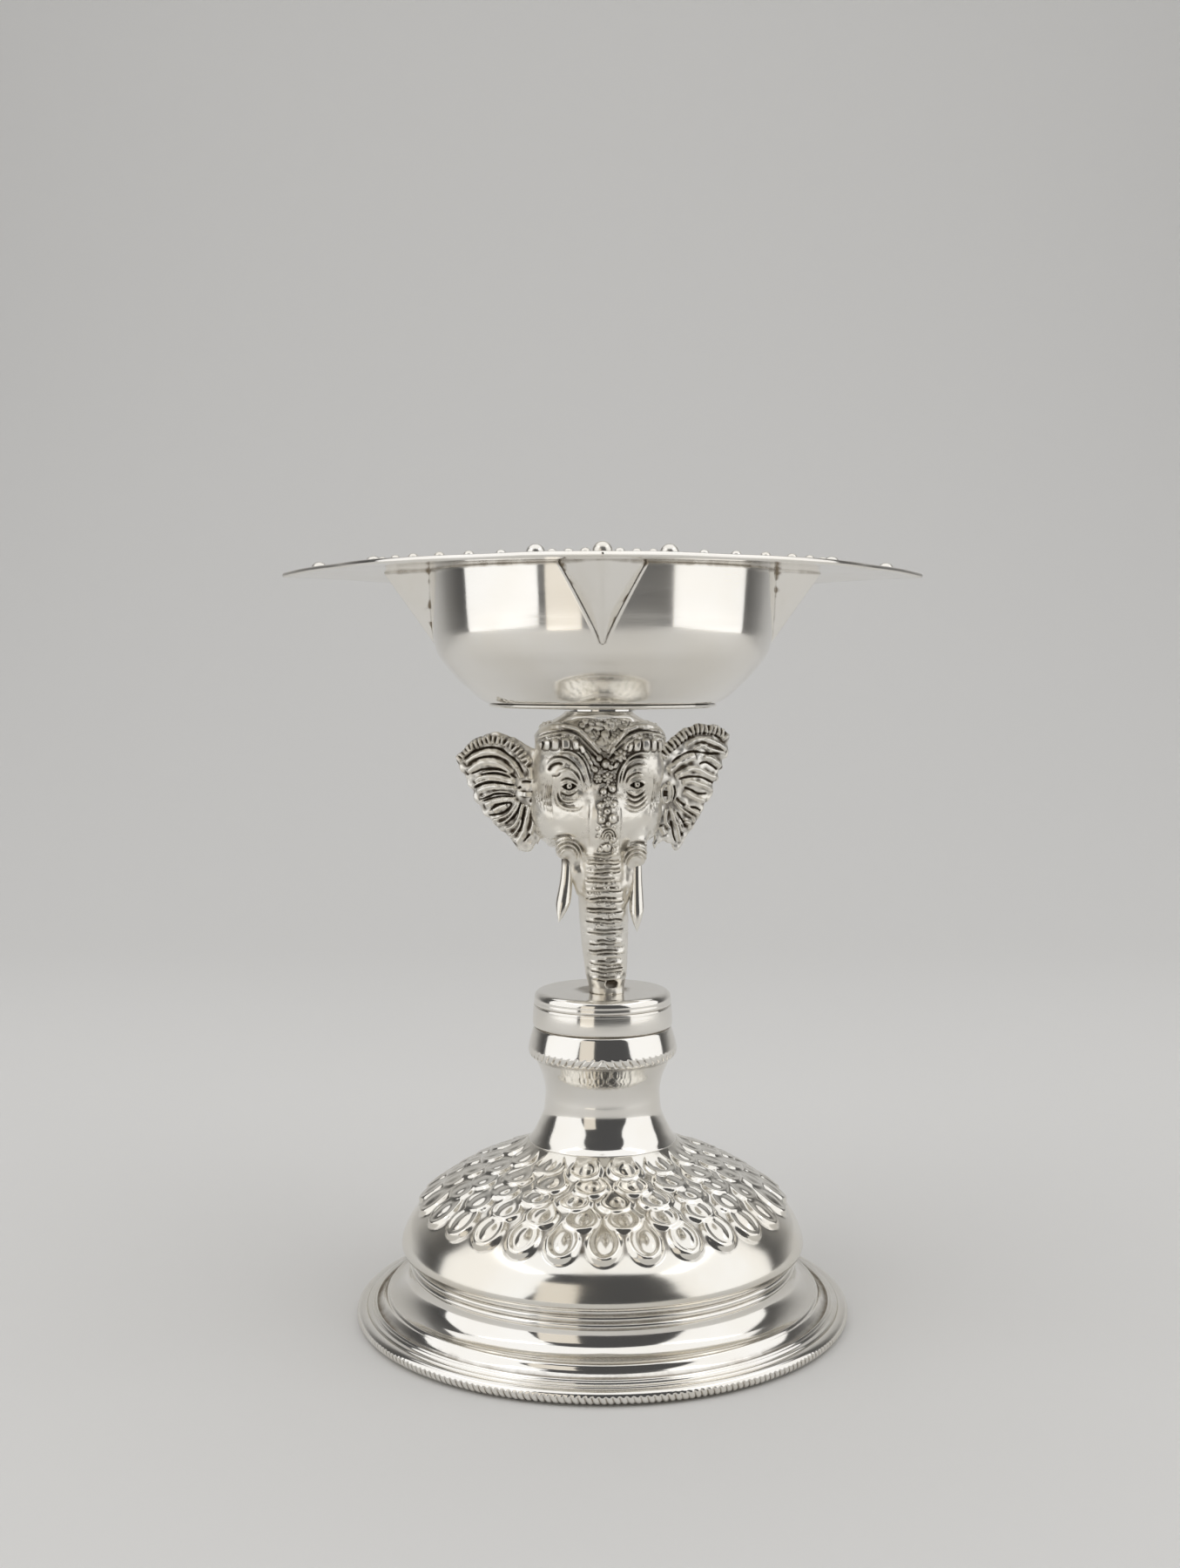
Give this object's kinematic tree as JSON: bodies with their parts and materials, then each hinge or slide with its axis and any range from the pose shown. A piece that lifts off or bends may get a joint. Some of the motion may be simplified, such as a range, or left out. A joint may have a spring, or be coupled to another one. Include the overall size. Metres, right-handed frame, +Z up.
{
  "type": "stemmed diya oil lamp",
  "caption": "Silver-plated stemmed oil lamp: a spouted oil bowl with a pointed beaded rim, an elephant-head stem with a ribbed trunk, and a scale-embossed domed base on a rope-edged foot.",
  "frame": {"origin": "centre of the foot, on the surface it stands on", "axes": "+Z up along the lamp's axis, -Y the side the elephant faces, +X to the right of a viewer in front"},
  "size_m": [0.1016, 0.1016, 0.1186],
  "materials": {
    "bright_silver": "polished silver plate on sheet brass",
    "antique_silver": "antiqued silver plate with dark recesses",
    "brass_fittings": "turned brass"
  },
  "bodies": {
    "base": {"foot_shell": "bright_silver", "foot_rope_edge": "bright_silver", "reeded_band": "bright_silver", "dome_shell": "antique_silver", "base_neck": "bright_silver", "gadroon_collar": "bright_silver", "collar_cap": "bright_silver", "stem_washer": "brass_fittings", "stem_nut": "brass_fittings", "trunk_stud": "brass_fittings", "elephant_casting": "antique_silver", "left_ear": "antique_silver", "right_ear": "antique_silver", "left_tusk": "antique_silver", "right_tusk": "antique_silver", "stem_neck": "bright_silver"},
    "thread_carrier": {"seat_washer": "bright_silver"},
    "bowl": {"bowl_stud": "brass_fittings", "saucer_plate": "bright_silver", "bowl_shell": "bright_silver", "wick_spouts": "bright_silver", "rim_plate": "bright_silver", "rim_large_beads": "antique_silver", "rim_small_beads": "antique_silver"}
  },
  "joints": [
    {"name": "bowl_lift", "type": "slide", "parent": "base", "child": "thread_carrier", "axis": [0, 0, 1], "range_m": [0, 0.0042]},
    {"name": "bowl_turn", "type": "hinge", "parent": "thread_carrier", "child": "bowl", "pos_m": [0, 0, 0.0944], "axis": [0, 0, 1], "range_deg": [0, 1485]}
  ],
  "couplings": [
    {"joint": "bowl_lift", "follows": "bowl_turn", "m_per_rad": 0.00015915}
  ]
}
